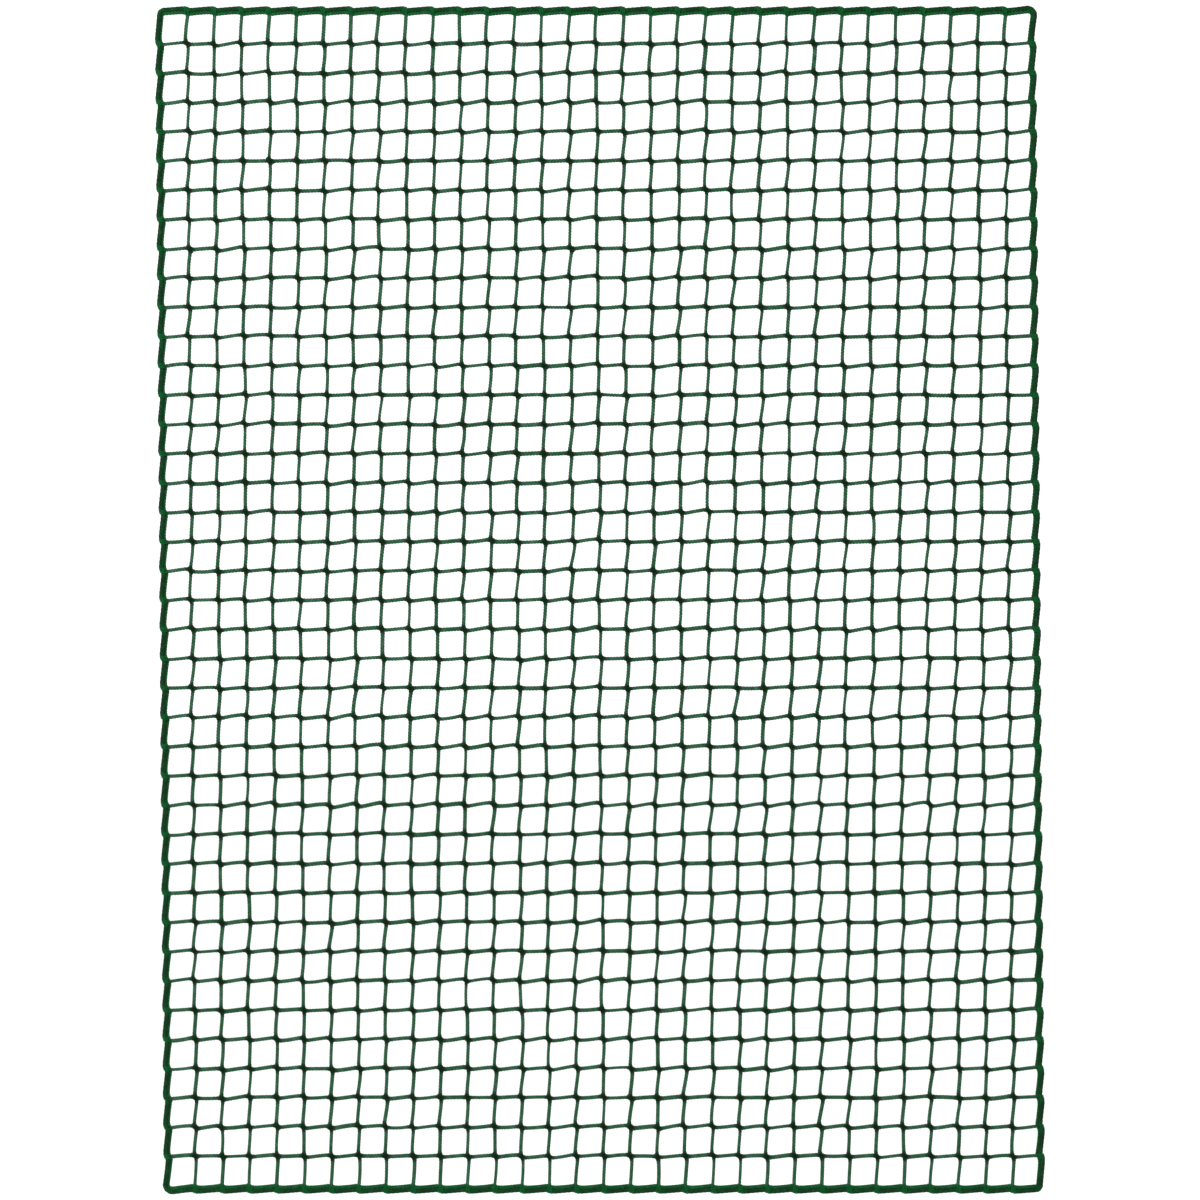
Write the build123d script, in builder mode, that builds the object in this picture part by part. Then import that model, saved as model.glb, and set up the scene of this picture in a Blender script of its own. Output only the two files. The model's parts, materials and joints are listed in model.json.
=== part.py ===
"""Cargo climbing net: a knotless netting panel, hung square and laced to a border rope.

Millimetres. The net hangs flat in the XZ plane with its front facing -Y. The origin is the middle of
the top border rope, by which it hangs. Eight bands, each five meshes deep, fold about the weft
twines between them.
"""

import math
import os

from build123d import *

os.makedirs("parts", exist_ok=True)

# The whole net, over the border
net_width = 1490.0
net_height = 2009.0
meshes_across = 32
meshes_down = 40
meshes_per_band = 5
mesh_width = 46.17
mesh_height = 49.585
# The netting hangs a little out of square: the bottom edge stands this far to the right of the top
lean_total = 14.9

# Cords
warp_r = 2.25
weft_r = 2.45
rope_r = 4.2
edge_twine_r = 2.2
# From the rope's middle to the edge twine's: laid alongside at top and bottom, pulled in at the sides
end_lay = 6.1
side_lay = 4.1
corner_bend_r = 14.0

# Knitted joints: an oval stitch block on the slant, and a round one where the net folds
joint_r = 3.2
joint_length = 13.0
joint_slant = 45.0
fold_joint_r = 3.6
fold_joint_length = 12.0
# A warp leg leaves a joint this far right of its middle and comes into the next one as far left
warp_step = 1.6

# Loops of lacing that tie the edge twine to the rope
loop_wall = 0.75
loop_width = 8.0

# Ends that stay clear of the fold line, so that two bands can fold to 120 degrees
warp_free_end = 4.5
rope_free_end = 5.4
rope_seat = 4.4
rope_tip_r = 2.6
rope_full_at = 7.8

# Places worked out from those sizes
bands = meshes_down // meshes_per_band
rope_x = net_width / 2 - rope_r
edge_x = rope_x - side_lay
bottom_rope_z = 2 * rope_r - net_height
top_edge_z = -end_lay
bottom_edge_z = bottom_rope_z + end_lay
middle_z = bottom_rope_z / 2
first_row_z = middle_z + mesh_height * (meshes_down - 2) / 2
first_column_x = -mesh_width * (meshes_across - 2) / 2
column_x = [first_column_x + mesh_width * k for k in range(meshes_across - 1)]


def row_z(row):
    """The height of an inner weft twine, counted from 1 at the top."""
    return first_row_z - mesh_height * (row - 1)


def lean(z):
    """How far the net stands to the right at this height."""
    return lean_total * z / bottom_rope_z


def band_ends(band):
    """The heights where a band starts and stops: a fold line, or an edge twine at the net's ends."""
    top = top_edge_z if band == 1 else row_z(meshes_per_band * (band - 1))
    bottom = bottom_edge_z if band == bands else row_z(meshes_per_band * band)
    return top, bottom


def band_rows(band):
    """The inner rows that a band carries, with the fold line at its own top among them."""
    first = max(meshes_per_band * (band - 1), 1)
    return range(first, meshes_per_band * band)


def is_fold(row):
    return row % meshes_per_band == 0


def across(x, z):
    """A plane across a cord that runs along X, at the given place."""
    return Plane(origin=(x, 0, z), x_dir=(0, 1, 0), z_dir=(1, 0, 0))


def along(start, stop):
    """A plane across a cord at its start, facing its stop, and the distance between them."""
    way = Vector(*stop) - Vector(*start)
    return Plane(origin=start, x_dir=(0, 1, 0), z_dir=way.normalized()), way.length


for band in range(1, bands + 1):
    top_z, bottom_z = band_ends(band)
    at_top, at_bottom = band == 1, band == bands
    rows = band_rows(band)
    body_rows = [row for row in rows if not is_fold(row)]
    fold_rows = [row for row in rows if is_fold(row)]

    # Warp twines: one straight run for each column, slanting to the left on the way down
    warp_stop_z = bottom_z if at_bottom else bottom_z + warp_free_end
    warp_plane, warp_length = along(
        (lean(top_z) + warp_step, 0, top_z),
        (lean(bottom_z) - warp_step, 0, warp_stop_z),
    )
    with BuildPart() as warp_run:
        with BuildSketch(warp_plane):
            Circle(warp_r)
        extrude(amount=warp_length)
    with BuildPart() as warp_twines:
        with Locations(*[(x, 0, 0) for x in column_x]):
            add(warp_run.part)
    warp_twines.part.label = f"warp_twines_{band}"
    export_step(warp_twines.part, f"parts/warp_twines_{band}.step")

    # Weft twines: one for each row, from edge twine to edge twine
    with BuildPart() as weft_twines:
        for row in rows:
            with BuildSketch(across(lean(row_z(row)) - edge_x, row_z(row))):
                Circle(weft_r)
        extrude(amount=2 * edge_x)
    weft_twines.part.label = f"weft_twines_{band}"
    export_step(weft_twines.part, f"parts/weft_twines_{band}.step")

    # Knitted joints, where a warp and a weft are stitched through each other
    with BuildPart() as stitch_block:
        Cylinder(joint_r, joint_length, rotation=(0, 90 + joint_slant, 0))
        fillet(stitch_block.edges().filter_by(GeomType.CIRCLE), joint_r * 0.9)
    with BuildPart() as fold_block:
        Cylinder(fold_joint_r, fold_joint_length, rotation=(0, 90, 0))
    with BuildPart() as knit_joints:
        with Locations(
            *[(x + lean(row_z(r)), 0, row_z(r)) for r in body_rows for x in column_x]
        ):
            add(stitch_block.part)
        for row in fold_rows:
            with Locations(*[(x + lean(row_z(row)), 0, row_z(row)) for x in column_x]):
                add(fold_block.part)
    knit_joints.part.label = f"knit_joints_{band}"
    export_step(knit_joints.part, f"parts/knit_joints_{band}.step")

    # Border rope down both sides, drawn in to a blunt tip at each fold line
    rope_top_z = -corner_bend_r if at_top else top_z
    rope_bottom_z = bottom_rope_z + corner_bend_r if at_bottom else bottom_z
    rope_plane, rope_length = along(
        (lean(rope_top_z), 0, rope_top_z), (lean(rope_bottom_z), 0, rope_bottom_z)
    )
    full_from = 0 if at_top else rope_full_at
    full_to = rope_length if at_bottom else rope_length - rope_full_at
    with BuildPart() as rope_run:
        with BuildSketch(rope_plane.offset(full_from)):
            Circle(rope_r)
        extrude(amount=full_to - full_from)
        if not at_top:
            with BuildSketch(rope_plane.offset(rope_seat)):
                Circle(rope_tip_r)
            with BuildSketch(rope_plane.offset(rope_full_at)):
                Circle(rope_r)
            loft()
        if not at_bottom:
            with BuildSketch(rope_plane.offset(full_to)):
                Circle(rope_r)
            with BuildSketch(rope_plane.offset(rope_length - rope_free_end)):
                Circle(rope_tip_r)
            loft()
    with BuildPart() as side_ropes:
        with Locations((-rope_x, 0, 0), (rope_x, 0, 0)):
            add(rope_run.part)
    side_ropes.part.label = f"side_ropes_{band}"
    export_step(side_ropes.part, f"parts/side_ropes_{band}.step")

    # Edge twine of the netting, pulled in beside the rope
    edge_stop_z = bottom_z if at_bottom else bottom_z + rope_free_end
    edge_plane, edge_length = along((lean(top_z), 0, top_z), (lean(bottom_z), 0, edge_stop_z))
    with BuildPart() as edge_run:
        with BuildSketch(edge_plane):
            Circle(edge_twine_r)
        extrude(amount=edge_length)
    with BuildPart() as edge_twines:
        with Locations((-edge_x, 0, 0), (edge_x, 0, 0)):
            add(edge_run.part)
    edge_twines.part.label = f"edge_twines_{band}"
    export_step(edge_twines.part, f"parts/edge_twines_{band}.step")

    # Lacing loops at each weft: flat-sided ones round rope and edge twine, and at a fold line a round
    # one on the fold's own axis, on which the next band turns
    loop_r = rope_r + loop_wall
    with BuildPart() as edge_loops:
        for row in rows:
            z = row_z(row)
            for side in (-1, 1):
                outer_x = side * (rope_x + loop_r)
                inner_x = side * (edge_x - edge_twine_r - loop_wall)
                middle_x = lean(z) + (outer_x + inner_x) / 2
                span = abs(outer_x - inner_x)
                if is_fold(row):
                    with BuildSketch(across(middle_x - span / 2, z)):
                        Circle(loop_r)
                    extrude(amount=span)
                else:
                    with BuildSketch(Plane.XY.offset(z)):
                        with Locations((middle_x, 0)):
                            SlotOverall(span, 2 * loop_r)
                    extrude(amount=loop_width / 2, both=True)
    edge_loops.part.label = f"edge_loops_{band}"
    export_step(edge_loops.part, f"parts/edge_loops_{band}.step")

# Top and bottom of the border: the rope, its bends into the sides, the edge twine and its loops
for end, rope_z, inward in (("top", 0, -1), ("bottom", bottom_rope_z, 1)):
    end_x = lean(rope_z)
    straight = rope_x - corner_bend_r
    with BuildPart() as end_rope:
        with BuildSketch(across(end_x - straight, rope_z)):
            Circle(rope_r)
        extrude(amount=2 * straight)
    end_rope.part.label = f"{end}_rope"
    export_step(end_rope.part, f"parts/{end}_rope.step")

    with BuildPart() as corner_bends:
        for side in (-1, 1):
            bend = Axis((end_x + side * straight, 0, rope_z + inward * corner_bend_r), (0, 1, 0))
            with BuildSketch(across(end_x + side * straight, rope_z)):
                Circle(rope_r)
            revolve(axis=bend, revolution_arc=-side * inward * 90)
    corner_bends.part.label = f"{end}_corners"
    export_step(corner_bends.part, f"parts/{end}_corners.step")

    edge_z = rope_z + inward * end_lay
    with BuildPart() as end_edge:
        with BuildSketch(across(end_x - edge_x, edge_z)):
            Circle(edge_twine_r)
        extrude(amount=2 * edge_x)
    end_edge.part.label = f"{end}_edge_twine"
    export_step(end_edge.part, f"parts/{end}_edge_twine.step")

    loop_r = rope_r + loop_wall
    loop_span = loop_r + end_lay + edge_twine_r + loop_wall
    loop_middle_z = rope_z + inward * (loop_span / 2 - loop_r)
    with BuildPart() as end_loop:
        with BuildSketch(across(end_x - loop_width / 2, loop_middle_z)):
            SlotOverall(loop_span, 2 * loop_r, rotation=90)
        extrude(amount=loop_width)
    with BuildPart() as end_loops:
        with Locations(*[(x, 0, 0) for x in column_x]):
            add(end_loop.part)
    end_loops.part.label = f"{end}_edge_loops"
    export_step(end_loops.part, f"parts/{end}_edge_loops.step")

fold_angle = 180 - 2 * math.degrees(math.atan(rope_r / rope_full_at))
print("fold possible at the rope's tips, degrees:", round(fold_angle, 1))
print("fold lines at z:", [round(row_z(meshes_per_band * b), 3) for b in range(1, bands)])
print("and at x:", [round(lean(row_z(meshes_per_band * b)), 3) for b in range(1, bands)])
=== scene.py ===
"""Cargo climbing net: plaited knotless netting laced to a braided border rope, hung in soft light."""

import json
import math

import bpy
import numpy as np
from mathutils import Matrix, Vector


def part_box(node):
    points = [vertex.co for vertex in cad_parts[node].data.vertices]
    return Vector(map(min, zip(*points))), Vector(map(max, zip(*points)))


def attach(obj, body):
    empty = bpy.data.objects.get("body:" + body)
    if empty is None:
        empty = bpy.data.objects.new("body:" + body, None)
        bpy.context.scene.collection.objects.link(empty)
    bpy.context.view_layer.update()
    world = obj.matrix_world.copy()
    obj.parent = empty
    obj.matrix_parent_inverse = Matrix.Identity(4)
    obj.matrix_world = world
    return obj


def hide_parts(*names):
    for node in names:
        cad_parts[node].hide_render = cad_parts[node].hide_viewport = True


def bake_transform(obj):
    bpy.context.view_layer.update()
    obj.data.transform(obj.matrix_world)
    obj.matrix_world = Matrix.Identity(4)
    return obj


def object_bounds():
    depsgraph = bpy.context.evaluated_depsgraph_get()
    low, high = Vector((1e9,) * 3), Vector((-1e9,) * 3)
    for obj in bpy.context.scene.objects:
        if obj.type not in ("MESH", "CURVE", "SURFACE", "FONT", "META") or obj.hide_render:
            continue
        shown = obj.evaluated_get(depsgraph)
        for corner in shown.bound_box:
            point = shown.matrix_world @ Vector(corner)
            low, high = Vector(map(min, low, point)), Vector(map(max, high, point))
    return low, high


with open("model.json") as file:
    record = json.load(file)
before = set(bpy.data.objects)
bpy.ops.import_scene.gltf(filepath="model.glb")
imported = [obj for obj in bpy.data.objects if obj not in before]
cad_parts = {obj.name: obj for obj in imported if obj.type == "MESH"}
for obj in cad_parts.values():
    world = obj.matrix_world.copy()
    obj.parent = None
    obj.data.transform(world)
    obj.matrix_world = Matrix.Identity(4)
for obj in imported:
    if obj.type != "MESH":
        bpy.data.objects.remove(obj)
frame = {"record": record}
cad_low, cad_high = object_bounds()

MM = 0.001
chance = np.random.default_rng(11)

# ---- The net's layout, from the CAD ----

MESHES_ACROSS, MESHES_DOWN, MESHES_PER_BAND = 32, 40, 5
BANDS = MESHES_DOWN // MESHES_PER_BAND
folds = [joint["pos_m"] for joint in frame["record"]["behaviour"]["joints"]]

top_low, top_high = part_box("top_rope")
bottom_low, bottom_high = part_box("bottom_rope")
corners_low, corners_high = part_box("top_corners")
loops_low, loops_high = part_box("top_edge_loops")
edge_low, edge_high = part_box("top_edge_twine")

ROPE_R = (top_high[2] - top_low[2]) / 2
EDGE_R = (edge_high[2] - edge_low[2]) / 2
TOP_Z = (top_high[2] + top_low[2]) / 2
BOTTOM_Z = (bottom_high[2] + bottom_low[2]) / 2
ROPE_X = (corners_high[0] - corners_low[0]) / 2 - ROPE_R
# from the rope's middle to the edge twine's, along the ends and down the sides
END_LAY = TOP_Z - (edge_high[2] + edge_low[2]) / 2
SIDE_LAY = ROPE_X - (edge_high[0] - edge_low[0]) / 2
CORNER_TIGHTNESS = 0.8
CORNER_R = CORNER_TIGHTNESS * (ROPE_X - (top_high[0] - top_low[0]) / 2)
LEAN = folds[-1][0] / folds[-1][2]
LOOP_WIDTH = 8 * MM
MESH_H = (folds[0][2] - folds[-1][2]) / (MESHES_PER_BAND * (len(folds) - 1))
MESH_W = (loops_high[0] - loops_low[0] - LOOP_WIDTH) / (MESHES_ACROSS - 2)
FIRST_ROW_Z = folds[0][2] + MESH_H * (MESHES_PER_BAND - 1)

ROWS, COLUMNS = MESHES_DOWN + 1, MESHES_ACROSS + 1


def lean(z):
    """How far the net stands to the right at this height."""
    return LEAN * z


# How unevenly the joints lie: rows sway together sideways, columns sway and rise together, and each
# joint strays a little on its own. In mm, and for the waves: size, length in rows or columns, phase.
ROW_SWAY = (1.2, 4.55, 2.6)
COLUMN_SWAY = (0.7, 27, 0.4)
COLUMN_RISE = (0.7, 4, 1.9)
ROW_STRAY, COLUMN_STRAY = 0.35, 0.25
JOINT_STRAY_X, JOINT_STRAY_Z = 0.7, 0.5


def wave(place, size, length, phase):
    """A wave along the rows or the columns."""
    return size * np.sin(2 * math.pi * place / length + phase)


def place_joints():
    """Where every joint lies, as arrays of x and z by row and column, the border's lines among them."""
    row, column = np.mgrid[0:ROWS, 0:COLUMNS].astype(float)
    z = FIRST_ROW_Z - MESH_H * (row - 1)
    z[0], z[-1] = TOP_Z, BOTTOM_Z
    x = MESH_W * (column - MESHES_ACROSS / 2)
    x[:, 0], x[:, -1] = -ROPE_X, ROPE_X
    x += lean(z)

    inner = np.zeros_like(x)
    inner[1:-1, 1:-1] = 1
    on_fold = (row % MESHES_PER_BAND == 0) & (inner > 0)
    row_sway = wave(row, *ROW_SWAY) + chance.normal(0, ROW_STRAY, (ROWS, 1))
    column_sway = wave(column, *COLUMN_SWAY) + chance.normal(0, COLUMN_STRAY, (1, COLUMNS))
    column_rise = wave(column, *COLUMN_RISE) + chance.normal(0, COLUMN_STRAY, (1, COLUMNS))
    x += MM * inner * (row_sway + column_sway + chance.normal(0, JOINT_STRAY_X, x.shape))
    z += MM * inner * (column_rise + chance.normal(0, JOINT_STRAY_Z, z.shape)) * ~on_fold
    return x, z


joint_x, joint_z = place_joints()


# ---- How the twines run from joint to joint ----

# The step that a twine makes at a joint, and how it and the leg's bow vary. Reaches along a leg are
# shares of its length.
WARP_JOG, WEFT_JOG = 2.0 * MM, 2.3 * MM
BORDER_JOG_SIDE, BORDER_JOG_END = 2.9 * MM, 2.0 * MM
JOG_SHARPNESS = 0.085
JOG_VARIES_BY_LINE, JOG_VARIES_BY_LEG = 0.18, 0.28
LEG_BOW = 0.6 * MM
CROSSING_DEPTH, CROSSING_REACH = 1.1 * MM, 0.1
HANG_RELIEF = 1.6 * MM
HANG_WAVES = ((1.0, 4.1, 2.3, 0.0), (0.6, 7.7, -5.1, 1.0))  # share, radians per metre of x and z, phase
LEG_FLARE, LEG_FLARE_REACH = 0.34, 0.12
LEG_UNEVEN, LEG_UNEVEN_EASE = 0.07, 0.15


def jog(f):
    """A leg's stepped run, f from 0 to 1: 0 at its joints, plus after the first, minus before the next."""
    step_out = np.tanh(f / JOG_SHARPNESS)
    step_in = np.tanh((1 - f) / JOG_SHARPNESS)
    return step_out - step_in + 1 - 2 * f


def near_ends(f, reach):
    """1 at either end of a run, f from 0 to 1, and 0 away from both."""
    return np.exp(-((f / reach) ** 2)) + np.exp(-(((1 - f) / reach) ** 2))


def crossing(f):
    """How far a leg moves out of the net's plane to pass the other twine at a joint."""
    return CROSSING_DEPTH * near_ends(f, CROSSING_REACH)


def leg_swell(place, leg_count):
    """How much thicker each leg is towards its joints, where the knitting gathers in, and from leg to leg."""
    tightness = chance.normal(0, LEG_UNEVEN, (place.shape[0], leg_count + 1))
    rings_per_leg = (place.shape[1] - 1) / leg_count
    position = np.arange(place.shape[1]) / rings_per_leg
    leg = np.minimum(position.astype(int), leg_count - 1)
    ease = np.clip((position - leg - (1 - LEG_UNEVEN_EASE)) / LEG_UNEVEN_EASE, 0, 1)
    uneven = tightness[:, leg] * (1 - ease) + tightness[:, leg + 1] * ease
    return (1 + LEG_FLARE * near_ends(place, LEG_FLARE_REACH)) * (1 + uneven)


def relief(x, z):
    """The slight waves of a hung net, none on the fold lines, where the bands turn."""
    within_band = (FIRST_ROW_Z + MESH_H - z) / (MESH_H * MESHES_PER_BAND)
    calm = np.sin(math.pi * within_band) ** 2
    waves = sum(share * np.sin(by_x * x + by_z * z + phase) for share, by_x, by_z, phase in HANG_WAVES)
    return HANG_RELIEF * calm * waves


def legs_of(positions, across, rings_per_leg, jog_size):
    """Points along lines of joints. positions run along the line and across holds the other coordinate,
    both (lines, joints). Returns along, aside and the place within the leg, each (lines, points)."""
    lines, leg_count = positions.shape[0], positions.shape[1] - 1
    by_line = chance.normal(0, JOG_VARIES_BY_LINE, (lines, 1))
    by_leg = chance.normal(0, JOG_VARIES_BY_LEG, (lines, leg_count))
    jogs = jog_size * (1 + by_line + by_leg)
    bows = chance.normal(0, LEG_BOW, (lines, leg_count))
    f = np.linspace(0, 1, rings_per_leg + 1)
    along, aside, place = [], [], []
    for leg in range(leg_count):
        g = f if leg == leg_count - 1 else f[:-1]
        a0, a1 = positions[:, leg, None], positions[:, leg + 1, None]
        b0, b1 = across[:, leg, None], across[:, leg + 1, None]
        along.append(a0 + (a1 - a0) * g)
        aside.append(
            b0 + (b1 - b0) * g + jogs[:, leg, None] * jog(g) + bows[:, leg, None] * np.sin(math.pi * g)
        )
        place.append(np.broadcast_to(g, (lines, g.size)))
    return [np.concatenate(part, axis=1) for part in (along, aside, place)]


# ---- Cords as meshes ----

LAY_UNIT = 10 * MM  # of a cord's length, for one unit along its lay


DEPTH_WAY = (0.0, 1.0, 0.0)  # through the net, front to back


def frames_along(points, depth_way=DEPTH_WAY):
    """Arc length, and unit side and depth directions, of lines of points (lines, points, 3)."""
    step = np.diff(points, axis=1)
    length = np.concatenate(
        [np.zeros(points.shape[:1] + (1,)), np.cumsum(np.linalg.norm(step, axis=2), axis=1)], axis=1
    )
    way = np.gradient(points, axis=1)
    way /= np.linalg.norm(way, axis=2, keepdims=True)
    side = np.cross(np.array(depth_way), way)
    side /= np.linalg.norm(side, axis=2, keepdims=True)
    return length, side, np.cross(way, side)


def sweep(centres, one, other, one_r, other_r, sides, start_length):
    """Closed tubes of oval section round lines of centres (lines, points, 3). The section reaches one_r in
    the direction one and other_r in the direction other, where one, other and the way on are right-handed.
    Returns vertices, wall quads, each wall corner's lay (along, round) and the ends, as vertex numbers."""
    lines, rings = centres.shape[:2]
    turn = 2 * math.pi * (np.arange(sides) + 0.5) / sides
    one_r, other_r = [
        np.broadcast_to(np.asarray(r, float), (lines, rings))[..., None, None] for r in (one_r, other_r)
    ]
    one_reach = one_r * one[:, :, None] * np.cos(turn)[:, None]
    other_reach = other_r * other[:, :, None] * np.sin(turn)[:, None]
    vertices = (centres[:, :, None] + (one_reach + other_reach)).reshape(-1, 3)

    number = np.arange(lines * rings * sides).reshape(lines, rings, sides)
    here, there = number[:, :-1], number[:, 1:]
    walls = np.stack([here, np.roll(here, -1, 2), np.roll(there, -1, 2), there], axis=-1).reshape(-1, 4)

    step = np.linalg.norm(np.diff(centres, axis=1), axis=2)
    length = start_length + np.concatenate([np.zeros((lines, 1)), np.cumsum(step, axis=1)], axis=1)
    along = np.broadcast_to(length[:, :, None] / LAY_UNIT, (lines, rings, sides))
    along_from, along_to = along[:, :-1], along[:, 1:]
    round_from = np.broadcast_to(np.arange(sides) / sides, along_to.shape)
    round_to = round_from + 1 / sides
    corners = [(along_from, round_from), (along_from, round_to), (along_to, round_to), (along_to, round_from)]
    lay = np.stack([np.stack(corner, -1) for corner in corners], axis=-2).reshape(-1, 2)
    return vertices, walls, lay, [number[:, 0, ::-1], number[:, -1]]


def tubes(centres, radius, sides, flat=1.0, depth_way=DEPTH_WAY, start_length=0.0):
    """Closed tubes round lines of centres, radius being one number or (lines, points)."""
    _, side, depth = frames_along(centres, depth_way)
    return sweep(centres, side, depth, radius, np.asarray(radius) * flat, sides, start_length)


def ribbons(centres, outward, radius, flat, sides, start_length):
    """Flattened strands whose thin way faces outward."""
    way = np.gradient(centres, axis=1)
    wide = np.cross(way, outward)
    wide /= np.linalg.norm(wide, axis=2, keepdims=True)
    thin = np.cross(wide, way)
    thin /= np.linalg.norm(thin, axis=2, keepdims=True)
    return sweep(centres, thin, wide, radius * flat, radius, sides, start_length)


def joined(parts):
    """Several results of sweep as one."""
    start, vertices, walls, lays, ends = 0, [], [], [], []
    for part_vertices, part_walls, part_lay, part_ends in parts:
        vertices.append(part_vertices)
        walls.append(part_walls + start)
        lays.append(part_lay)
        ends += [end + start for end in part_ends]
        start += len(part_vertices)
    return np.concatenate(vertices), np.concatenate(walls), np.concatenate(lays), ends


PLAIT_STRANDS, PLAIT_SIDES, PLAIT_FLAT = 3, 5, 0.9


def plaits(points, strand_r, spread, lift, pitch, phase, swell=1.0, start_length=0.0):
    """Flat three-strand plaits along lines of points. swell scales the plait from point to point."""
    length, side, depth = frames_along(points)
    swell = np.broadcast_to(np.asarray(swell, float), points.shape[:2])
    parts = []
    for strand in range(PLAIT_STRANDS):
        turn = 2 * math.pi * ((length + start_length) / pitch + strand / PLAIT_STRANDS) + phase
        centres = (
            points
            + (swell * spread * np.sin(turn))[..., None] * side
            + (swell * lift * np.sin(2 * turn))[..., None] * depth
        )
        parts.append(tubes(centres, strand_r * swell, PLAIT_SIDES, PLAIT_FLAT, start_length=start_length))
    return joined(parts)


def make_piece(name, parts, material, near=None):
    """One mesh piece from results of sweep, with its lay as a UV map and its points' nearness to a joint."""
    vertices, walls, lay, ends = joined(parts)
    polygons = [walls, *ends]
    corners = np.concatenate([p.ravel() for p in polygons])
    sizes = np.concatenate([np.full(len(p), p.shape[1]) for p in polygons])
    lay = np.concatenate([lay, np.zeros((corners.size - len(lay), 2))])
    mesh = bpy.data.meshes.new(name)
    mesh.vertices.add(len(vertices))
    mesh.vertices.foreach_set("co", vertices.astype(np.float32).ravel())
    mesh.loops.add(corners.size)
    mesh.loops.foreach_set("vertex_index", corners.astype(np.int32))
    mesh.polygons.add(sizes.size)
    mesh.polygons.foreach_set("loop_start", (np.cumsum(sizes) - sizes).astype(np.int32))
    mesh.polygons.foreach_set("use_smooth", np.ones(sizes.size, bool))
    mesh.update(calc_edges=True)
    mesh.uv_layers.new(name="lay").data.foreach_set("uv", lay.astype(np.float32).ravel())
    nearness = near_joint(vertices) if near is None else np.full(len(vertices), near)
    mesh.attributes.new("near_joint", "FLOAT", "POINT").data.foreach_set("value", nearness.astype(np.float32))
    mesh.materials.append(material)
    piece = bpy.data.objects.new(name, mesh)
    bpy.context.collection.objects.link(piece)
    return piece


JOINT_SHADE_FROM, JOINT_SHADE_TO = 4 * MM, 12 * MM


def near_joint(vertices):
    """1 at a joint's middle, falling to 0 away from it."""
    row = np.clip(np.rint((FIRST_ROW_Z - vertices[:, 2]) / MESH_H) + 1, 0, ROWS - 1).astype(int)
    flat_x = vertices[:, 0] - lean(vertices[:, 2])
    column = np.clip(np.rint(flat_x / MESH_W + MESHES_ACROSS / 2), 0, COLUMNS - 1).astype(int)
    away = np.hypot(vertices[:, 0] - joint_x[row, column], vertices[:, 2] - joint_z[row, column])
    return np.clip((JOINT_SHADE_TO - away) / (JOINT_SHADE_TO - JOINT_SHADE_FROM), 0, 1)


# ---- Materials ----


def node(tree, kind, **inputs):
    """A new node, with the inputs given by name as values or as sockets to link."""
    made = tree.nodes.new(kind)
    for name, value in inputs.items():
        socket = made.inputs[name.replace("_", " ")]
        if isinstance(value, bpy.types.NodeSocket):
            tree.links.new(value, socket)
        else:
            socket.default_value = value
    return made


def blend_colours(tree, share, first, second):
    """Mixes two colours, each a socket or a value, by share."""
    mix = tree.nodes.new("ShaderNodeMix")
    mix.data_type = "RGBA"
    for socket, value in ((mix.inputs["Factor"], share), (mix.inputs[6], first), (mix.inputs[7], second)):
        if isinstance(value, bpy.types.NodeSocket):
            tree.links.new(value, socket)
        else:
            socket.default_value = value
    return mix.outputs[2]


def ranged(tree, value, low, high, to_low, to_high):
    """value taken from one range to another, held at its ends."""
    made = node(
        tree, "ShaderNodeMapRange", Value=value, From_Min=low, From_Max=high, To_Min=to_low, To_Max=to_high
    )
    return made.outputs["Result"]


def product(tree, first, second):
    made = tree.nodes.new("ShaderNodeMath")
    made.operation = "MULTIPLY"
    for socket, value in zip(made.inputs, (first, second)):
        if isinstance(value, bpy.types.NodeSocket):
            tree.links.new(value, socket)
        else:
            socket.default_value = value
    return made.outputs[0]


def new_group(name, inputs, outputs):
    group = bpy.data.node_groups.new(name, "ShaderNodeTree")
    for label, kind, value in inputs:
        group.interface.new_socket(label, in_out="INPUT", socket_type=kind).default_value = value
    for label, kind in outputs:
        group.interface.new_socket(label, in_out="OUTPUT", socket_type=kind)
    return group, group.nodes.new("NodeGroupInput"), group.nodes.new("NodeGroupOutput")


def make_filament_group():
    """The drawn filaments of a polypropylene yarn, along its lay: a streaky tone and a fine height."""
    group, given, out = new_group(
        "yarn_filaments",
        [("Streaks Around", "NodeSocketFloat", 10.0), ("Lumps Along", "NodeSocketFloat", 1.2)],
        [("Streak", "NodeSocketFloat"), ("Height", "NodeSocketFloat")],
    )
    lay = group.nodes.new("ShaderNodeUVMap")
    lay.uv_map = "lay"
    split = node(group, "ShaderNodeSeparateXYZ", Vector=lay.outputs["UV"])
    along = product(group, split.outputs["X"], given.outputs["Lumps Along"])
    around = product(group, split.outputs["Y"], given.outputs["Streaks Around"])
    drawn = node(group, "ShaderNodeCombineXYZ", X=along, Y=around)
    streak = node(group, "ShaderNodeTexNoise", Vector=drawn.outputs[0], Scale=1.0, Detail=3.0, Roughness=0.6)
    fine = node(group, "ShaderNodeTexNoise", Vector=drawn.outputs[0], Scale=2.7, Detail=2.0, Roughness=0.5)
    group.links.new(ranged(group, streak.outputs["Fac"], 0.32, 0.68, 0.0, 1.0), out.inputs["Streak"])
    group.links.new(fine.outputs["Fac"], out.inputs["Height"])
    return group


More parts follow.
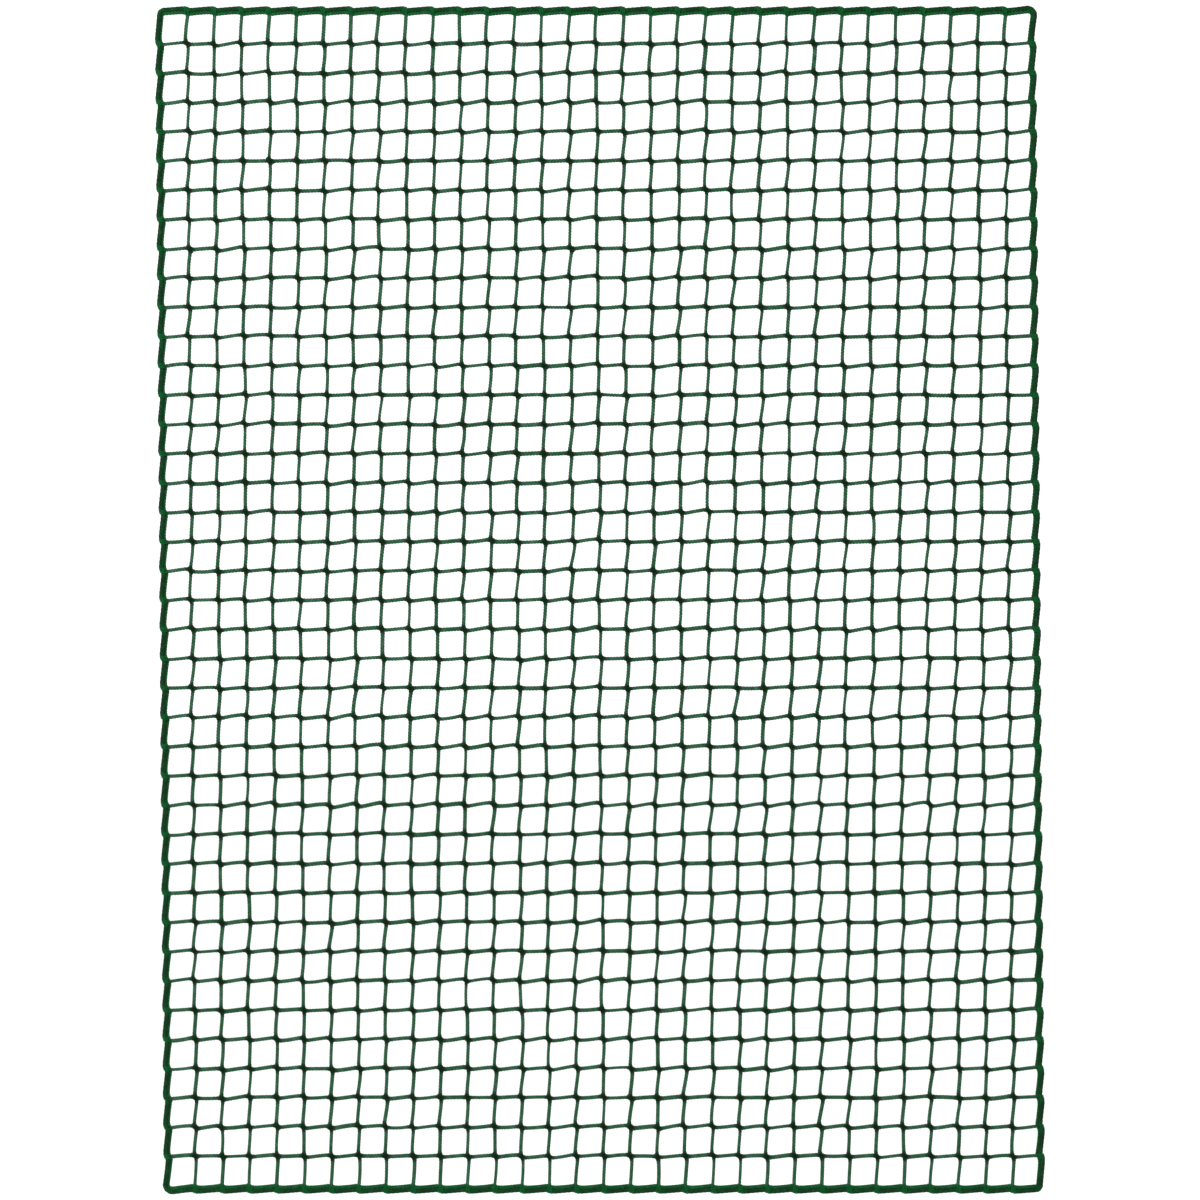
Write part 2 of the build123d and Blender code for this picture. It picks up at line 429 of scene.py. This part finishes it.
def make_weather_group():
    """Slow changes of shade over the net, from dye lots and light, and small paler rubbed places."""
    group, given, out = new_group(
        "weathering",
        [("Patch Size", "NodeSocketFloat", 22.0), ("Rub Size", "NodeSocketFloat", 160.0)],
        [("Patch", "NodeSocketFloat"), ("Rub", "NodeSocketFloat")],
    )
    place = group.nodes.new("ShaderNodeTexCoord").outputs["Object"]
    patch = node(group, "ShaderNodeTexNoise", Vector=place, Scale=given.outputs["Patch Size"], Detail=2.0)
    rub = node(group, "ShaderNodeTexNoise", Vector=place, Scale=given.outputs["Rub Size"], Detail=3.0)
    group.links.new(ranged(group, patch.outputs["Fac"], 0.35, 0.65, 0.0, 1.0), out.inputs["Patch"])
    group.links.new(ranged(group, rub.outputs["Fac"], 0.52, 0.72, 0.0, 1.0), out.inputs["Rub"])
    return group


filaments = make_filament_group()
weathering = make_weather_group()

PATCH_SHARE, RUB_SHARE = 0.5, 0.4
GLOSS = 0.06
ROUGHNESS_VARIES = 0.08
GRAIN_STRENGTH = 0.7


def make_yarn(name, deep, mid, rubbed, at_joint, streaks, roughness, grain):
    """A dyed polypropylene yarn: deep and mid by streaks, rubbed places paler, joints their own shade."""
    material = bpy.data.materials.new(name)
    material.use_nodes = True
    tree = material.node_tree
    shader = tree.nodes["Principled BSDF"]

    def grouped(group, **values):
        made = tree.nodes.new("ShaderNodeGroup")
        made.node_tree = group
        for label, value in values.items():
            made.inputs[label.replace("_", " ")].default_value = value
        return made

    yarn = grouped(filaments, Streaks_Around=streaks)
    weather = grouped(weathering)
    joint = node(tree, "ShaderNodeAttribute")
    joint.attribute_name = "near_joint"
    base = blend_colours(tree, yarn.outputs["Streak"], deep, mid)
    patched = blend_colours(tree, product(tree, weather.outputs["Patch"], PATCH_SHARE), base, deep)
    worn = blend_colours(tree, product(tree, weather.outputs["Rub"], RUB_SHARE), patched, rubbed)
    colour = blend_colours(tree, joint.outputs["Fac"], worn, at_joint)
    tree.links.new(colour, shader.inputs["Base Color"])
    tree.links.new(
        ranged(
            tree, yarn.outputs["Streak"], 0.0, 1.0, roughness + ROUGHNESS_VARIES, roughness - ROUGHNESS_VARIES
        ),
        shader.inputs["Roughness"],
    )
    height = yarn.outputs["Height"]
    bump = node(tree, "ShaderNodeBump", Height=height, Distance=grain, Strength=GRAIN_STRENGTH)
    tree.links.new(bump.outputs["Normal"], shader.inputs["Normal"])
    shader.inputs["Specular IOR Level"].default_value = GLOSS
    return material


netting_yarn = make_yarn(
    "netting_yarn",
    deep=(0.0018, 0.036, 0.0090, 1),
    mid=(0.0300, 0.091, 0.0520, 1),
    rubbed=(0.046, 0.122, 0.074, 1),
    at_joint=(0.0001, 0.0070, 0.0004, 1),
    streaks=9.0,
    roughness=0.58,
    grain=0.16 * MM,
)
edge_yarn = make_yarn(
    "edge_twine_yarn",
    deep=(0.0010, 0.029, 0.0055, 1),
    mid=(0.0024, 0.080, 0.0165, 1),
    rubbed=(0.012, 0.112, 0.034, 1),
    at_joint=(0.0010, 0.057, 0.0105, 1),
    streaks=9.0,
    roughness=0.58,
    grain=0.16 * MM,
)
rope_yarn = make_yarn(
    "border_rope_yarn",
    deep=(0.0008, 0.010, 0.0024, 1),
    mid=(0.0020, 0.036, 0.0086, 1),
    rubbed=(0.008, 0.064, 0.023, 1),
    at_joint=(0.0008, 0.035, 0.0068, 1),
    streaks=12.0,
    roughness=0.55,
    grain=0.20 * MM,
)
lacing_yarn = make_yarn(
    "lacing_yarn",
    deep=(0.0009, 0.045, 0.009, 1),
    mid=(0.0020, 0.084, 0.0190, 1),
    rubbed=(0.011, 0.113, 0.036, 1),
    at_joint=(0.0009, 0.058, 0.0115, 1),
    streaks=8.0,
    roughness=0.55,
    grain=0.14 * MM,
)


# ---- How the pieces follow the bands ----

CUT_MESH = 2  # pieces that run over a fold meet the next ones at this row of each band, inside its joints


def fold_row(fold):
    """The row of joints on which one band turns on the next."""
    return MESHES_PER_BAND * fold


def rows_within(band):
    """The rows of joints between a band's folds, or between its fold and the net's end."""
    return np.arange(fold_row(band - 1) + 1, fold_row(band))


def cut_row(band):
    return fold_row(band - 1) + CUT_MESH


def rides(band):
    """A hold for pieces that lie on one band."""
    return lambda piece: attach(piece, f"band_{band}")


def bends_over():
    """A hold for pieces that run over a fold from one band to the next: their place is baked into the mesh
    and they ride on no band.
    """
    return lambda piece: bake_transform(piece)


# ---- The netting, band by band ----

RINGS_PER_LEG = 24
WARP_PLAIT = dict(strand_r=1.82 * MM, spread=1.68 * MM, lift=0.95 * MM, pitch=16 * MM)
WEFT_PLAIT = dict(strand_r=1.93 * MM, spread=1.78 * MM, lift=1.0 * MM, pitch=16 * MM)
JOINT_PLAIT = dict(strand_r=2.15 * MM, spread=2.45 * MM, lift=1.75 * MM, pitch=15.0 * MM)
JOINT_HALF, JOINT_RINGS = 6.8 * MM, 11
JOINT_SLANT, JOINT_SLANT_VARIES = math.radians(45), 0.10
JOINT_SIZE_VARIES = 0.07
JOINT_TAPER, JOINT_TAPER_POWER = 0.55, 4

# one warp line for each inner column, from the top border down, and one weft line for each inner row
warp_along, warp_aside, warp_place = legs_of(joint_z.T[1:-1], joint_x.T[1:-1], RINGS_PER_LEG, WARP_JOG)
weft_along, weft_aside, weft_place = legs_of(joint_x[1:-1], joint_z[1:-1], RINGS_PER_LEG, -WEFT_JOG)
warp_swell, weft_swell = leg_swell(warp_place, MESHES_DOWN), leg_swell(weft_place, MESHES_ACROSS)
warp_points = np.stack(
    [warp_aside, relief(warp_aside, warp_along) + crossing(warp_place), warp_along], axis=-1
)
weft_points = np.stack(
    [weft_along, relief(weft_along, weft_aside) - crossing(weft_place), weft_aside], axis=-1
)
warp_phase = chance.uniform(0, 2 * math.pi, (MESHES_ACROSS - 1, 1))
weft_phase = chance.uniform(0, 2 * math.pi, (MESHES_DOWN - 1, 1))
joint_phase = chance.uniform(0, 2 * math.pi, (ROWS, COLUMNS))
joint_slant = JOINT_SLANT + chance.normal(0, JOINT_SLANT_VARIES, (ROWS, COLUMNS))
joint_size = 1 + chance.normal(0, JOINT_SIZE_VARIES, (ROWS, COLUMNS))


def joint_plaits(rows):
    """The stitch blocks of some rows, where a warp and a weft are worked through each other."""
    row, column = [a.ravel() for a in np.meshgrid(rows, np.arange(1, COLUMNS - 1), indexing="ij")]
    t = np.linspace(-1, 1, JOINT_RINGS)
    half = JOINT_HALF * joint_size[row, column][:, None]
    slant = joint_slant[row, column][:, None]
    x = joint_x[row, column][:, None] + half * t * np.cos(slant)
    z = joint_z[row, column][:, None] - half * t * np.sin(slant)
    points = np.stack([x, relief(x, z), z], axis=-1)
    swell = (1 - JOINT_TAPER * t**JOINT_TAPER_POWER) * np.ones_like(x)
    return plaits(points, phase=joint_phase[row, column][:, None], swell=swell, **JOINT_PLAIT)


def add_warps(name, first_row, last_row, bands, hold):
    """The warp plaits from one row of joints to another."""
    span = slice(first_row * RINGS_PER_LEG, last_row * RINGS_PER_LEG + 1)
    piece = make_piece(
        name,
        [plaits(warp_points[:, span], phase=warp_phase, swell=warp_swell[:, span], **WARP_PLAIT)],
        netting_yarn,
    )
    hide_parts(*[f"warp_twines_{band}" for band in bands])
    hold(piece)


def add_rows(rows, weft_name, joints_name, band, hold):
    """The weft plaits of some rows, and their joints."""
    weft = plaits(weft_points[rows - 1], phase=weft_phase[rows - 1], swell=weft_swell[rows - 1], **WEFT_PLAIT)
    for name, parts, node_name in (
        (weft_name, weft, f"weft_twines_{band}"),
        (joints_name, joint_plaits(rows), f"knit_joints_{band}"),
    ):
        piece = make_piece(name, [parts], netting_yarn)
        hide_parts(node_name)
        hold(piece)


add_warps("warp_plaits_top", 0, cut_row(1), [1], rides(1))
for band in range(1, BANDS + 1):
    add_rows(rows_within(band), f"weft_plaits_{band}", f"stitch_joints_{band}", band, rides(band))
    if band < BANDS:
        bends = bends_over()
        turning = np.array([fold_row(band)])
        add_warps(f"warp_plaits_{band}", cut_row(band), cut_row(band + 1), [band, band + 1], bends)
        add_rows(turning, f"fold_weft_{band}", f"fold_joints_{band}", band + 1, bends)
add_warps("warp_plaits_bottom", cut_row(BANDS), MESHES_DOWN, [BANDS], rides(BANDS))


# ---- The border: where it runs ----

BORDER_STEP = 1.8 * MM
SAME_POINT = 0.2 * BORDER_STEP
CORNER_STEPS = 12
CORNER_BULGE, CORNER_BULGE_REACH = 2.4 * MM, 24 * MM  # at the two corners that the lean pulls out


def side_offset(side, z):
    """How far the border stands right of its straight line, down a side."""
    rows_z = joint_z[::-1, 0 if side < 0 else -1]
    at = np.clip(np.searchsorted(rows_z, z, side="right") - 1, 0, ROWS - 2)
    f = 1 - (z - rows_z[at]) / (rows_z[at + 1] - rows_z[at])
    return BORDER_JOG_SIDE * jog(np.clip(f, 0, 1))


def end_offset(row, x):
    """How far the border stands above its straight line, along the top or bottom."""
    columns_x = joint_x[row]
    at = np.clip(np.searchsorted(columns_x, x, side="right") - 1, 0, COLUMNS - 2)
    f = (x - columns_x[at]) / (columns_x[at + 1] - columns_x[at])
    return -BORDER_JOG_END * jog(np.clip(f, 0, 1))


def side_run(side, z_from, z_to):
    """Rope points down or up a side, in the net's plane, with the way to the net's inside and the lay."""
    count = max(int(round(abs(z_to - z_from) / BORDER_STEP)), 2)
    z = np.linspace(z_from, z_to, count + 1)
    x = side * ROPE_X + lean(z) + side_offset(side, z)
    inward = np.tile([-side, 0.0], (z.size, 1))
    return np.stack([x, z], -1), inward, np.full(z.size, SIDE_LAY)


def end_line(row):
    """The rope's height along the top or bottom, and the way from there to the net's inside."""
    return (TOP_Z, -1.0) if row == 0 else (BOTTOM_Z, 1.0)


def end_run(row, x_from, x_to):
    """Rope points along the top or bottom."""
    count = max(int(round(abs(x_to - x_from) / BORDER_STEP)), 2)
    x = np.linspace(x_from, x_to, count + 1)
    rope_z, inside = end_line(row)
    z = rope_z + end_offset(row, x)
    inward = np.tile([0.0, inside], (x.size, 1))
    return np.stack([x, z], -1), inward, np.full(x.size, END_LAY)


def corner_run(side, row):
    """Rope points round a corner, from the side to the end, taking the runs' offsets over evenly."""
    rope_z, inside = end_line(row)
    t = np.linspace(0, 1, CORNER_STEPS + 1)[1:-1]
    turn = t * math.pi / 2
    straight = ROPE_X - CORNER_R
    x = side * (straight + CORNER_R * np.cos(turn)) + lean(rope_z)
    z = rope_z + inside * CORNER_R * (1 - np.sin(turn))
    ease = t * t * (3 - 2 * t)
    x += (1 - ease) * side_offset(side, np.array([rope_z + inside * CORNER_R]))
    z += ease * end_offset(row, np.array([side * straight + lean(rope_z)]))
    inward = np.stack([-side * np.cos(turn), inside * np.sin(turn)], -1)
    return np.stack([x, z], -1), inward, SIDE_LAY + (END_LAY - SIDE_LAY) * ease


def chained(runs):
    """Runs one after another, without doubled points where they meet."""
    points, inward, lay = [np.concatenate(part) for part in zip(*runs)]
    keep = np.r_[True, np.linalg.norm(np.diff(points, axis=0), axis=1) > SAME_POINT]
    return points[keep], inward[keep], lay[keep]


def reversed_run(run):
    return tuple(part[::-1] for part in run)


def cap_route(row):
    """The border over the net's top or bottom, from one side's hidden cut to the other's."""
    z_cut = cut_z(1 if row == 0 else BANDS)
    rope_z, inside = end_line(row)
    straight = ROPE_X - CORNER_R
    shift = lean(rope_z)
    points, inward, lay = chained([
        side_run(-1, z_cut, rope_z + inside * CORNER_R),
        corner_run(-1, row),
        end_run(row, shift - straight, shift + straight),
        reversed_run(corner_run(1, row)),
        side_run(1, rope_z + inside * CORNER_R, z_cut),
    ])
    pulled_out = np.array([-inside, -inside])  # the top right corner and the bottom left one
    corner = np.array([-inside * ROPE_X + shift, rope_z])
    away = np.linalg.norm(points - corner, axis=1) / CORNER_BULGE_REACH
    points = points + CORNER_BULGE * math.sqrt(0.5) * np.exp(-(away**2))[:, None] * pulled_out
    return points, inward, lay


def cut_z(band):
    return FIRST_ROW_Z - MESH_H * (cut_row(band) - 1)


# ---- The border: braided rope, edge twine and lacing ----

BRAID_STRANDS = 4  # each way round
BRAID_PITCH = 30 * MM
BRAID_STRAND_R = 2.0 * MM
BRAID_STRAND_FLAT, BRAID_STRAND_SIDES = 0.6, 6
BRAID_LIFT = 0.30 * MM
BRAID_R = ROPE_R + 0.3 * MM
CORE_R, CORE_SIDES = BRAID_R - 0.9 * MM, 8
EDGE_PLAIT = dict(strand_r=1.95 * MM, spread=1.80 * MM, lift=0.95 * MM, pitch=16 * MM)
EDGE_BEHIND = 2.6 * MM
EDGE_PULL, EDGE_PULL_REACH = 1.1 * MM, 9 * MM
STEEP = 0.7  # a run that faces sideways by more than this is a side's, not an end's


def smoothed(values, times=2):
    for _ in range(times):
        values = np.concatenate([values[:1], (values[:-2] + 2 * values[1:-1] + values[2:]) / 4, values[-1:]])
    return values


def braided_rope(route, start_length=0.0):
    """An eight-strand braid round a core, along the border's route."""
    points, _, _ = route
    line = np.stack([points[:, 0], relief(points[:, 0], points[:, 1]), points[:, 1]], -1)[None]
    length, side, depth = frames_along(line)
    parts = [tubes(line, CORE_R, CORE_SIDES, start_length=start_length)]
    way_round = 2 * math.pi * (length + start_length) / BRAID_PITCH
    for hand in (-1, 1):
        out = BRAID_R - BRAID_STRAND_R * BRAID_STRAND_FLAT - BRAID_LIFT
        reach = out + hand * BRAID_LIFT * np.cos(BRAID_STRANDS * way_round)
        for strand in range(BRAID_STRANDS):
            turn = hand * way_round + 2 * math.pi * strand / BRAID_STRANDS
            outward = np.cos(turn)[..., None] * side + np.sin(turn)[..., None] * depth
            centres = line + reach[..., None] * outward
            parts.append(
                ribbons(centres, outward, BRAID_STRAND_R, BRAID_STRAND_FLAT, BRAID_STRAND_SIDES, start_length)
            )
    return joined(parts)


def edge_plait(route, start_length=0.0):
    """The netting's edge twine, on the rope's inner side and a little behind it where it is pulled in."""
    points, inward, lay = route
    along_z = np.abs(inward[:, 0]) > STEEP
    end_row = 0 if points[0, 1] > BOTTOM_Z / 2 else -1
    to_joint = np.where(
        along_z,
        np.abs(points[:, 1, None] - joint_z[1:-1, 0]).min(axis=1),
        np.abs(points[:, 0, None] - joint_x[end_row, 1:-1]).min(axis=1),
    )
    pulled = EDGE_PULL * np.exp(-((to_joint / EDGE_PULL_REACH) ** 2))
    inner = points + inward * (lay + pulled)[:, None]
    behind = EDGE_BEHIND * np.clip((END_LAY - lay) / (END_LAY - SIDE_LAY), 0, 1)
    line = np.stack([inner[:, 0], relief(inner[:, 0], inner[:, 1]) + smoothed(behind), inner[:, 1]], -1)[None]
    return plaits(line, phase=0.0, start_length=start_length, **EDGE_PLAIT)


LACING_TURNS, LACING_PITCH, LACING_R = 4, 2.1 * MM, 1.1 * MM
LACING_RINGS_PER_TURN, LACING_SIDES, LACING_FLAT = 14, 6, 0.85
LACING_TUCK, LACING_TUCK_REACH = 2.2 * MM, 0.05
LACING_SLANT = 0.25
LOOP_SLACK, LOOP_SLACK_VARIES = 0.3 * MM, 0.12 * MM
LACING_SHADE = 0.5  # how far it takes on the shade that cords have at joints


def lacing_loops(middles, inward, along, half_wide, half_deep):
    """Close turns of lacing round rope and edge twine at the given places, both ends tucked in behind."""
    t = np.linspace(0, 1, LACING_RINGS_PER_TURN * LACING_TURNS)
    turn = math.pi / 2 + 2 * math.pi * LACING_TURNS * t
    tucked = LACING_TUCK * near_ends(t, LACING_TUCK_REACH)
    slide = LACING_PITCH * LACING_TURNS * (t - 0.5)
    tight = chance.normal(0, LOOP_SLACK_VARIES, (len(middles), 1))
    centres = (
        middles[:, None]
        + slide[None, :, None] * along
        + ((half_wide + tight) * np.cos(turn))[..., None] * inward
        + ((half_deep + tight) * np.sin(turn) - tucked)[..., None] * np.array(DEPTH_WAY)
    )
    return tubes(centres, LACING_R, LACING_SIDES, LACING_FLAT, depth_way=along)


def add_border(name, route, replaces_rope, replaces_edge, hold, start_length=0.0):
    """A length of rope and its edge twine, held by hold(piece)."""
    rope = make_piece(f"{name}_rope_braid", [braided_rope(route, start_length)], rope_yarn)
    edge = make_piece(f"{name}_edge_plait", [edge_plait(route, start_length)], edge_yarn)
    for piece, nodes in ((rope, replaces_rope), (edge, replaces_edge)):
        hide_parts(*nodes)
        hold(piece)


add_border(
    "top",
    cap_route(0),
    ["top_rope", "top_corners", "side_ropes_1"],
    ["top_edge_twine", "edge_twines_1"],
    rides(1),
)
add_border(
    "bottom",
    cap_route(ROWS - 1),
    ["bottom_rope", "bottom_corners", f"side_ropes_{BANDS}"],
    ["bottom_edge_twine", f"edge_twines_{BANDS}"],
    rides(BANDS),
)
for fold in range(1, BANDS):
    for side_name, side in (("left", -1), ("right", 1)):
        z_from, z_to = cut_z(fold), cut_z(fold + 1)
        add_border(
            f"{side_name}_{fold}",
            side_run(side, z_from, z_to),
            [f"side_ropes_{fold}", f"side_ropes_{fold + 1}"],
            [f"edge_twines_{fold}", f"edge_twines_{fold + 1}"],
            bends_over(),
            start_length=TOP_Z - z_from,
        )


def side_loops(rows):
    """Lacing at the ends of some rows, both sides."""
    parts = []
    for side in (-1, 1):
        z = joint_z[rows, 0]
        x = side * ROPE_X + lean(z) + side_offset(side, z)
        middle_x = x - side * (SIDE_LAY + EDGE_R - ROPE_R) / 2
        middles = np.stack([middle_x, np.full(z.size, EDGE_BEHIND / 2), z], -1)
        half_wide = (ROPE_R + SIDE_LAY + EDGE_R) / 2 + LOOP_SLACK
        half_deep = ROPE_R + EDGE_BEHIND / 2 + LOOP_SLACK
        along = np.array([LACING_SLANT, 0.0, -1.0]) / math.hypot(LACING_SLANT, 1)
        parts.append(lacing_loops(middles, np.array([-side, 0.0, 0.0]), along, half_wide, half_deep))
    return joined(parts)


def end_loops(row):
    """Lacing along the top or bottom, one at each warp."""
    rope_z, inside = end_line(row)
    x = joint_x[row, 1:-1]
    z = rope_z + end_offset(row, x) + inside * (END_LAY + EDGE_R - ROPE_R) / 2
    middles = np.stack([x, np.zeros(x.size), z], -1)
    half_wide = (ROPE_R + END_LAY + EDGE_R) / 2 + LOOP_SLACK
    along = np.array([1.0, 0.0, -LACING_SLANT]) / math.hypot(LACING_SLANT, 1)
    return lacing_loops(middles, np.array([0.0, 0.0, inside]), along, half_wide, ROPE_R + LOOP_SLACK)


def add_lacing(name, loops, replaced, hold):
    piece = make_piece(name, [loops], lacing_yarn, near=LACING_SHADE)
    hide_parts(replaced)
    hold(piece)


for band in range(1, BANDS + 1):
    add_lacing(f"side_lacing_{band}", side_loops(rows_within(band)), f"edge_loops_{band}", rides(band))
    if band < BANDS:
        turning = side_loops(np.array([fold_row(band)]))
        bends = bends_over()
        add_lacing(f"fold_lacing_{band}", turning, f"edge_loops_{band + 1}", bends)

add_lacing("top_lacing", end_loops(0), "top_edge_loops", rides(1))
add_lacing("bottom_lacing", end_loops(ROWS - 1), "bottom_edge_loops", rides(BANDS))


# ---- Studio ----

net_middle = Vector(((cad_low[0] + cad_high[0]) / 2, 0, (cad_low[2] + cad_high[2]) / 2))


def pale(name, colour, roughness):
    material = bpy.data.materials.new(name)
    material.use_nodes = True
    shader = material.node_tree.nodes["Principled BSDF"]
    shader.inputs["Base Color"].default_value = colour
    shader.inputs["Roughness"].default_value = roughness
    return material


FLOOR_DROP, FLOOR_HALF = 0.55, 60
floor_mesh = bpy.data.meshes.new("floor")
floor_z = cad_low[2] - FLOOR_DROP
floor_corners = [
    (right * FLOOR_HALF, back * FLOOR_HALF, floor_z) for right, back in ((-1, -1), (1, -1), (1, 1), (-1, 1))
]
floor_mesh.from_pydata(floor_corners, [], [(0, 1, 2, 3)])
floor_mesh.materials.append(pale("pale_floor", (0.88, 0.88, 0.88, 1), 0.9))
floor = bpy.data.objects.new("floor", floor_mesh)
bpy.context.collection.objects.link(floor)

world = bpy.data.worlds.new("white_studio")
bpy.context.scene.world = world
world.use_nodes = True
world.node_tree.nodes["Background"].inputs["Color"].default_value = (1, 1, 1, 1)
world.node_tree.nodes["Background"].inputs["Strength"].default_value = 1.2


def soft_lamp(name, place, size, power):
    lamp = bpy.data.lights.new(name, "AREA")
    lamp.shape = "RECTANGLE"
    lamp.size, lamp.size_y = size
    lamp.energy = power
    holder = bpy.data.objects.new(name, lamp)
    holder.location = place
    holder.rotation_mode = "QUATERNION"
    holder.rotation_quaternion = (net_middle - Vector(place)).to_track_quat("-Z", "Y")
    bpy.context.collection.objects.link(holder)


soft_lamp("key_light", (-2.6, -4.2, 1.6), (1.8, 1.8), 300)
soft_lamp("back_light", (3.0, 4.0, 1.2), (1.8, 1.8), 90)

FRAME_OVER_NET = 1.011  # the frame's side over the net's height
camera_data = bpy.data.cameras.new("camera")
camera_data.lens = 200
camera_data.sensor_width = 36
frame_side = (cad_high[2] - cad_low[2]) * FRAME_OVER_NET
distance = frame_side / 2 / math.tan(math.atan(camera_data.sensor_width / 2 / camera_data.lens))
camera = bpy.data.objects.new("camera", camera_data)
camera.location = (net_middle.x, -distance, net_middle.z)
camera.rotation_euler = (math.radians(90), 0, 0)
camera_data.clip_end = 100
bpy.context.collection.objects.link(camera)
bpy.context.scene.camera = camera
bpy.context.scene.view_settings.view_transform = "Standard"
